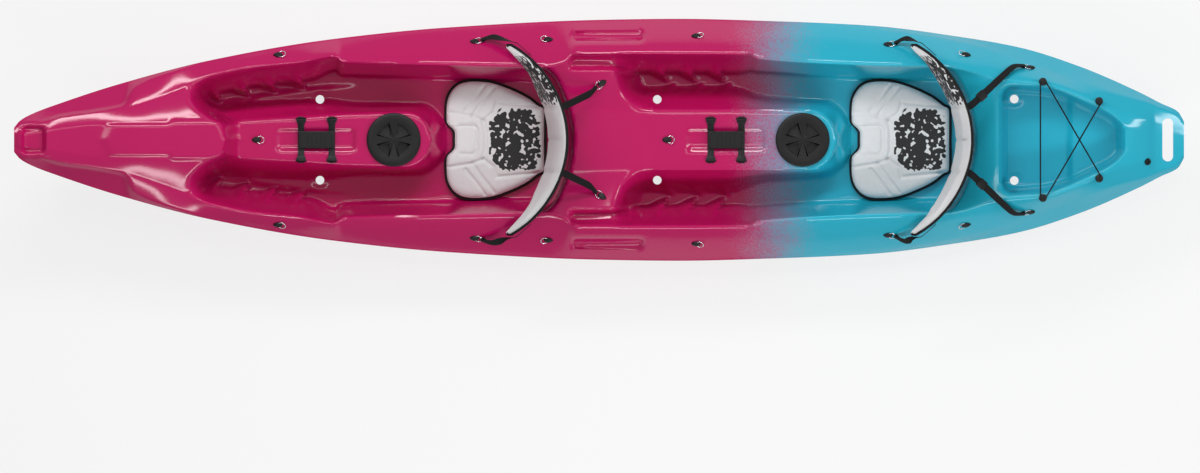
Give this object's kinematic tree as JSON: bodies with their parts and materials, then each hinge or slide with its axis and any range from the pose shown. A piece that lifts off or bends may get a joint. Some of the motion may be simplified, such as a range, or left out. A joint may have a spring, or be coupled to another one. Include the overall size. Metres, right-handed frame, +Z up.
{
  "type": "tandem sit-on-top kayak",
  "caption": "Tandem sit-on-top kayak with moulded foot wells and seats, strapped backrests, round twist hatches, deck eyes and a bungee-laced tank well.",
  "frame": {"origin": "on the ground under the middle of the hull, at the centre of the bounding box's bottom", "axes": "+X to the stern, +Y to the right of a paddler who faces the bow, +Z up"},
  "size_m": [3.96, 0.819, 0.538],
  "materials": {
    "hull_plastic": "rotomoulded polyethylene, glossy, blended from magenta at the bow to teal at the stern, flecked where they meet",
    "black_plastic": "black moulded nylon, satin",
    "black_rubber": "black sealing rubber",
    "seat_fabric": "white and pale grey moulded foam under printed fabric, black piping",
    "backing": "black woven backing over a stiff sheet",
    "webbing": "black woven nylon webbing",
    "cord": "black braided shock cord"
  },
  "bodies": {
    "hull_body": {"bungee_cord": "cord", "bungee_hook_front_left": "black_plastic", "bungee_hook_front_right": "black_plastic", "bungee_hook_rear_left": "black_plastic", "bungee_hook_rear_right": "black_plastic", "eye_bow_side_left": "black_plastic", "eye_bow_side_right": "black_plastic", "eye_front_back_strap_left": "black_plastic", "eye_front_back_strap_right": "black_plastic", "eye_front_side_left": "black_plastic", "eye_front_side_right": "black_plastic", "eye_front_strap_left": "black_plastic", "eye_front_strap_right": "black_plastic", "eye_mid_side_left": "black_plastic", "eye_mid_side_right": "black_plastic", "eye_rear_back_strap_left": "black_plastic", "eye_rear_back_strap_right": "black_plastic", "eye_rear_side_left": "black_plastic", "eye_rear_side_right": "black_plastic", "eye_rear_strap_left": "black_plastic", "eye_rear_strap_right": "black_plastic", "front_console_block": "black_plastic", "front_console_eye": "black_plastic", "front_console_strap_aft": "webbing", "front_console_strap_fore": "webbing", "front_hatch_rim": "black_plastic", "front_seat_left_aft_strap": "webbing", "front_seat_left_fore_strap": "webbing", "front_seat_pad": "seat_fabric", "front_seat_right_aft_strap": "webbing", "front_seat_right_fore_strap": "webbing", "hull": "hull_plastic", "rear_console_block": "black_plastic", "rear_console_eye": "black_plastic", "rear_console_strap_aft": "webbing", "rear_console_strap_fore": "webbing", "rear_hatch_rim": "black_plastic", "rear_seat_left_aft_strap": "webbing", "rear_seat_left_buckle": "black_plastic", "rear_seat_left_fore_strap": "webbing", "rear_seat_pad": "seat_fabric", "rear_seat_right_aft_strap": "webbing", "rear_seat_right_buckle": "black_plastic", "rear_seat_right_fore_strap": "webbing"},
    "front_backrest": {"front_backrest_pad": "seat_fabric", "front_backrest_shell": "backing"},
    "rear_backrest": {"rear_backrest_pad": "seat_fabric", "rear_backrest_shell": "backing"},
    "front_hatch_carrier": {"front_hatch_seal": "black_rubber"},
    "front_hatch_cover": {"front_hatch_lid": "black_plastic"},
    "rear_hatch_carrier": {"rear_hatch_seal": "black_rubber"},
    "rear_hatch_cover": {"rear_hatch_lid": "black_plastic"},
    "drain_carrier": {"drain_gasket": "black_rubber"},
    "drain_screw": {"drain_plug": "black_plastic"}
  },
  "joints": [
    {"name": "front_backrest_tilt", "type": "hinge", "parent": "hull_body", "child": "front_backrest", "pos_m": [-0.145, 0, 0.14], "axis": [0, 1, 0], "range_deg": [-7, 8], "deforming": ["front_seat_left_fore_strap", "front_seat_left_aft_strap", "front_seat_right_fore_strap", "front_seat_right_aft_strap"]},
    {"name": "rear_backrest_tilt", "type": "hinge", "parent": "hull_body", "child": "rear_backrest", "pos_m": [1.226, 0, 0.18], "axis": [0, 1, 0], "range_deg": [-7, 8], "deforming": ["rear_seat_left_fore_strap", "rear_seat_left_aft_strap", "rear_seat_right_fore_strap", "rear_seat_right_aft_strap", "rear_seat_left_buckle", "rear_seat_right_buckle"]},
    {"name": "front_hatch_lift", "type": "slide", "parent": "hull_body", "child": "front_hatch_carrier", "axis": [0, 0, 1], "range_m": [0, 0.15]},
    {"name": "front_hatch_twist", "type": "hinge", "parent": "front_hatch_carrier", "child": "front_hatch_cover", "pos_m": [-0.695, 0, 0.23], "axis": [0, 0, 1], "range_deg": [0, 90]},
    {"name": "rear_hatch_lift", "type": "slide", "parent": "hull_body", "child": "rear_hatch_carrier", "axis": [0, 0, 1], "range_m": [0, 0.15]},
    {"name": "rear_hatch_twist", "type": "hinge", "parent": "rear_hatch_carrier", "child": "rear_hatch_cover", "pos_m": [0.689, 0, 0.248], "axis": [0, 0, 1], "range_deg": [0, 90]},
    {"name": "drain_plug_travel", "type": "slide", "parent": "hull_body", "child": "drain_carrier", "axis": [0.5409, -0.2342, 0.8078], "range_m": [0, 0.0075]},
    {"name": "drain_plug_turn", "type": "hinge", "parent": "drain_carrier", "child": "drain_screw", "pos_m": [1.85681, -0.07413, 0.29756], "axis": [0.5409, -0.2342, 0.8078], "range_deg": [0, 1080]}
  ],
  "couplings": [
    {"joint": "drain_plug_travel", "follows": "drain_plug_turn", "m_per_rad": 0.00039788}
  ]
}
